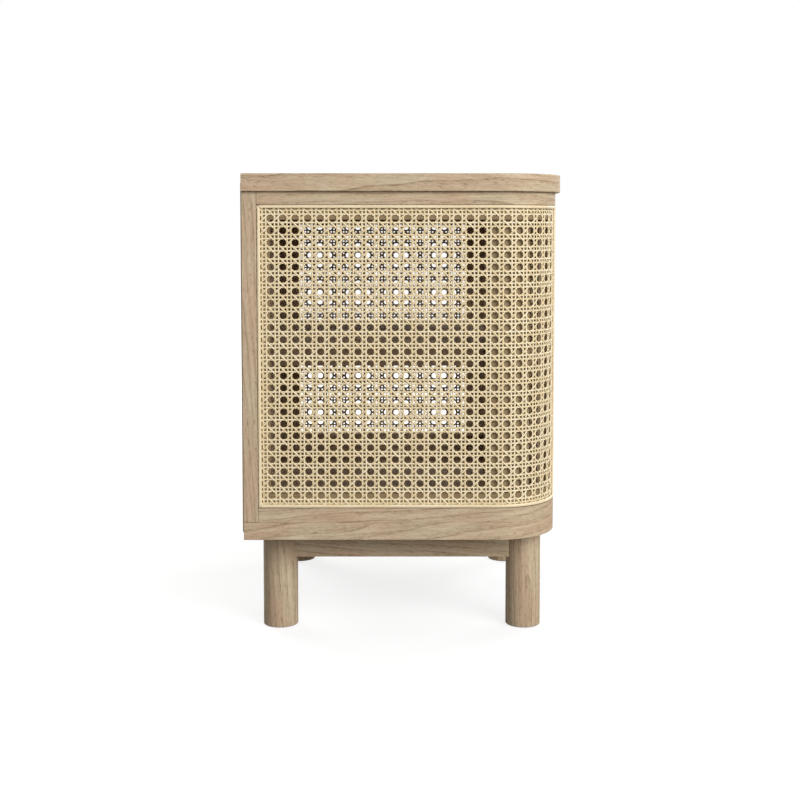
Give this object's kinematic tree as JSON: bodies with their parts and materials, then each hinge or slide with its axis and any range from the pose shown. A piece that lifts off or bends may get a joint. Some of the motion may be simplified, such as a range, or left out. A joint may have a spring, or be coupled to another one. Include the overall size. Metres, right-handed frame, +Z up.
{
  "type": "storage side table",
  "caption": "Box-shaped storage side table with rounded front corners, see-through woven cane sides, a hinged cane door, an inner shelf and round legs.",
  "frame": {"origin": "on the floor under the middle of the part's overall box, door knob and back board included", "axes": "+Z up, -Y out of the door, +X to the right when facing the door"},
  "size_m": [0.5, 0.421, 0.585],
  "materials": {
    "washed_wood": "pale washed hardwood with a matt lacquer",
    "plywood_back": "thin plywood, matt",
    "cane": "natural cane webbing in a six-way weave",
    "reed_bead": "split reed",
    "beech_dowel": "beech dowel, fluted",
    "satin_brass": "satin brass",
    "zinc_steel": "zinc plated steel",
    "catch_plastic": "moulded plastic",
    "glide_felt": "pressed felt"
  },
  "bodies": {
    "carcass": {"top_panel": "washed_wood", "bottom_panel": "washed_wood", "back_board": "plywood_back", "left_top_rail": "washed_wood", "right_top_rail": "washed_wood", "left_bottom_rail": "washed_wood", "right_bottom_rail": "washed_wood", "left_back_stile": "washed_wood", "right_back_stile": "washed_wood", "left_front_stile": "washed_wood", "right_front_stile": "washed_wood", "left_corner_post": "washed_wood", "right_corner_post": "washed_wood", "front_top_rail": "washed_wood", "front_bottom_rail": "washed_wood", "shelf": "washed_wood", "shelf_pins": "zinc_steel", "left_cane_side": "cane", "right_cane_side": "cane", "left_cane_corner": "cane", "right_cane_corner": "cane", "left_cane_bead": "reed_bead", "right_cane_bead": "reed_bead", "left_front_leg": "washed_wood", "right_front_leg": "washed_wood", "left_back_leg": "washed_wood", "right_back_leg": "washed_wood", "left_apron": "washed_wood", "right_apron": "washed_wood", "front_apron": "washed_wood", "back_apron": "washed_wood", "leg_bolts": "zinc_steel", "foot_glides": "glide_felt", "frame_dowels": "beech_dowel", "back_screws": "zinc_steel", "upper_hinge_frame_leaf": "satin_brass", "upper_hinge_pin": "satin_brass", "lower_hinge_frame_leaf": "satin_brass", "lower_hinge_pin": "satin_brass", "frame_hinge_screws": "satin_brass", "magnet_catch": "catch_plastic", "catch_screws": "zinc_steel"},
    "door": {"door_left_stile": "washed_wood", "door_right_stile": "washed_wood", "door_top_rail": "washed_wood", "door_bottom_rail": "washed_wood", "door_cane": "cane", "door_bead": "reed_bead", "door_knob": "washed_wood", "knob_screw": "zinc_steel", "upper_hinge_door_leaf": "satin_brass", "lower_hinge_door_leaf": "satin_brass", "door_hinge_screws": "satin_brass", "strike_plate": "zinc_steel", "strike_screw": "zinc_steel"}
  },
  "joints": [
    {"name": "door_swing", "type": "hinge", "parent": "carcass", "child": "door", "pos_m": [-0.143, -0.1862, 0.3585], "axis": [0, 0, -1], "range_deg": [0, 110]}
  ]
}
